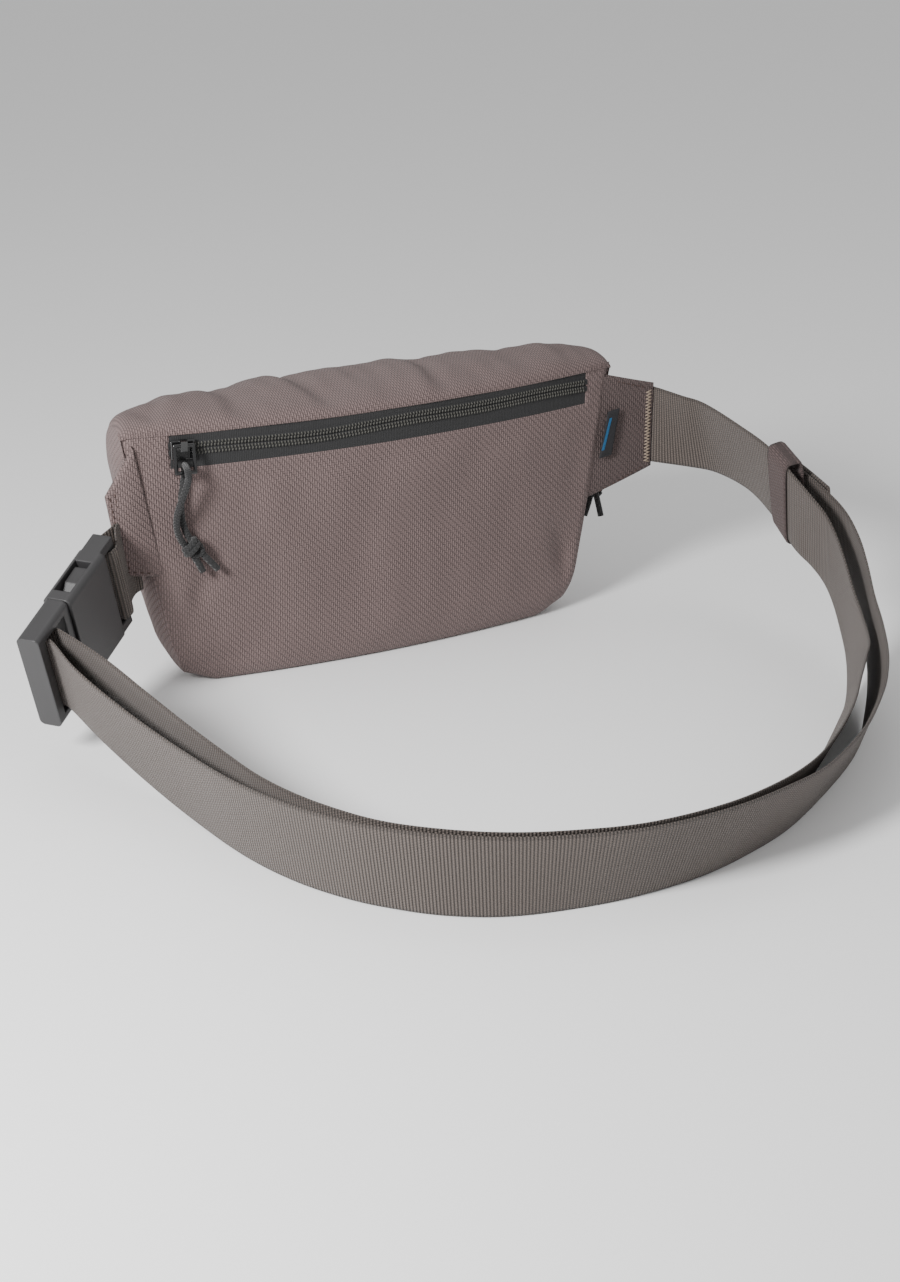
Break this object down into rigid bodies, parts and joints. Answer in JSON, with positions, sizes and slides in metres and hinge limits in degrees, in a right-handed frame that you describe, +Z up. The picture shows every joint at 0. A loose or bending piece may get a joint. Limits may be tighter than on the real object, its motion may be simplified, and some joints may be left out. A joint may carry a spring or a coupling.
{
  "type": "waist bag",
  "caption": "Soft waist bag on an adjustable webbing belt, with a rear zip pocket, a front zip, corded zip pulls, side wings and a side-release buckle.",
  "frame": {"origin": "middle of the base, on the surface the bag stands on", "axes": "+Z up; -Y toward the side worn against the body, with the rear pocket and the belt loop; +X toward the wing that the belt is sewn to"},
  "size_m": [0.3819, 0.3319, 0.1303],
  "materials": {
    "bag_fabric": "matt",
    "lining": "matt",
    "webbing": "matt",
    "thread": "matt",
    "label": "matt",
    "zip_tape": "matt",
    "zip_coil": "satin",
    "zip_metal": "gloss",
    "cord": "matt",
    "buckle_plastic": "satin"
  },
  "bodies": {
    "bag": {"base_panel": "bag_fabric", "gusset_left": "bag_fabric", "gusset_right": "bag_fabric", "rear_pocket_panel": "bag_fabric", "front_panel": "bag_fabric", "top_panel": "bag_fabric", "zip_tab_left": "bag_fabric", "zip_tab_right": "bag_fabric", "rear_zip_tape_upper": "zip_tape", "rear_zip_tape_lower": "zip_tape", "rear_zip_coil_upper": "zip_coil", "rear_zip_coil_lower": "zip_coil", "pocket_divider": "lining", "main_zip_tape_upper": "zip_tape", "main_zip_tape_lower": "zip_tape", "main_zip_coil": "zip_coil", "wing_right": "bag_fabric", "wing_left": "bag_fabric", "side_label": "label", "wing_stitching": "thread", "buckle_female": "buckle_plastic", "stub_loop": "webbing", "stub_webbing": "webbing", "belt_main": "webbing", "belt_tail": "webbing", "belt_tail_fold": "webbing", "keeper_loop": "bag_fabric"},
    "buckle_male": {"buckle_male": "buckle_plastic", "belt_wrap": "webbing"},
    "latch_upper": {"latch_prong_upper": "buckle_plastic"},
    "latch_lower": {"latch_prong_lower": "buckle_plastic"},
    "rear_slider": {"rear_zip_slider": "zip_metal"},
    "rear_puller": {"rear_zip_puller": "zip_metal"},
    "rear_cord": {"rear_zip_cord_outer": "cord", "rear_zip_cord_inner": "cord", "rear_zip_knot": "cord"},
    "main_slider": {"main_zip_slider": "zip_metal"},
    "main_puller": {"main_zip_puller": "zip_metal"},
    "main_cord": {"main_zip_cord_outer": "cord", "main_zip_cord_inner": "cord", "main_zip_knot": "cord"}
  },
  "joints": [
    {"name": "rear_zip_run", "type": "hinge", "parent": "bag", "child": "rear_slider", "pos_m": [0, 0.572, 0.1145], "axis": [0, 0, 1], "range_deg": [0, 18.3]},
    {"name": "rear_puller_tilt", "type": "hinge", "parent": "rear_slider", "child": "rear_puller", "pos_m": [-0.09662, -0.02412, 0.1171], "axis": [-0.9871, 0.16, 0], "range_deg": [0, 120]},
    {"name": "rear_cord_swing", "type": "hinge", "parent": "rear_puller", "child": "rear_cord", "pos_m": [-0.09707, -0.02688, 0.1056], "axis": [-0.9871, 0.16, 0], "range_deg": [-120, 0]},
    {"name": "main_zip_run", "type": "hinge", "parent": "bag", "child": "main_slider", "pos_m": [0, -0.19533, 0.098], "axis": [0, 0, 1], "range_deg": [0, 52]},
    {"name": "main_puller_tilt", "type": "hinge", "parent": "main_slider", "child": "main_puller", "pos_m": [0.11077, 0.02197, 0.1006], "axis": [0.8909, -0.4542, 0], "range_deg": [0, 120]},
    {"name": "main_cord_swing", "type": "hinge", "parent": "main_puller", "child": "main_cord", "pos_m": [0.11204, 0.02446, 0.0891], "axis": [0.8909, -0.4542, 0], "range_deg": [-120, 0]},
    {"name": "buckle_release", "type": "slide", "parent": "bag", "child": "buckle_male", "axis": [-0.6963, -0.6443, -0.3162], "range_m": [0, 0.028], "deforming": ["belt_main", "belt_tail", "latch_prong_upper", "latch_prong_lower"]},
    {"name": "latch_upper_press", "type": "hinge", "parent": "buckle_male", "child": "latch_upper", "pos_m": [-0.1649, -0.05514, 0.0632], "axis": [-0.6822, 0.7311, 0.0125], "range_deg": [0, 9], "stiffness_Nm_per_rad": 0.4},
    {"name": "latch_lower_press", "type": "hinge", "parent": "buckle_male", "child": "latch_lower", "pos_m": [-0.15812, -0.04832, 0.03437], "axis": [0.6822, -0.7311, -0.0125], "range_deg": [0, 9], "stiffness_Nm_per_rad": 0.4}
  ],
  "couplings": [
    {"joint": "rear_puller_tilt", "follows": "rear_cord_swing", "ratio": -1},
    {"joint": "main_puller_tilt", "follows": "main_cord_swing", "ratio": -1}
  ]
}
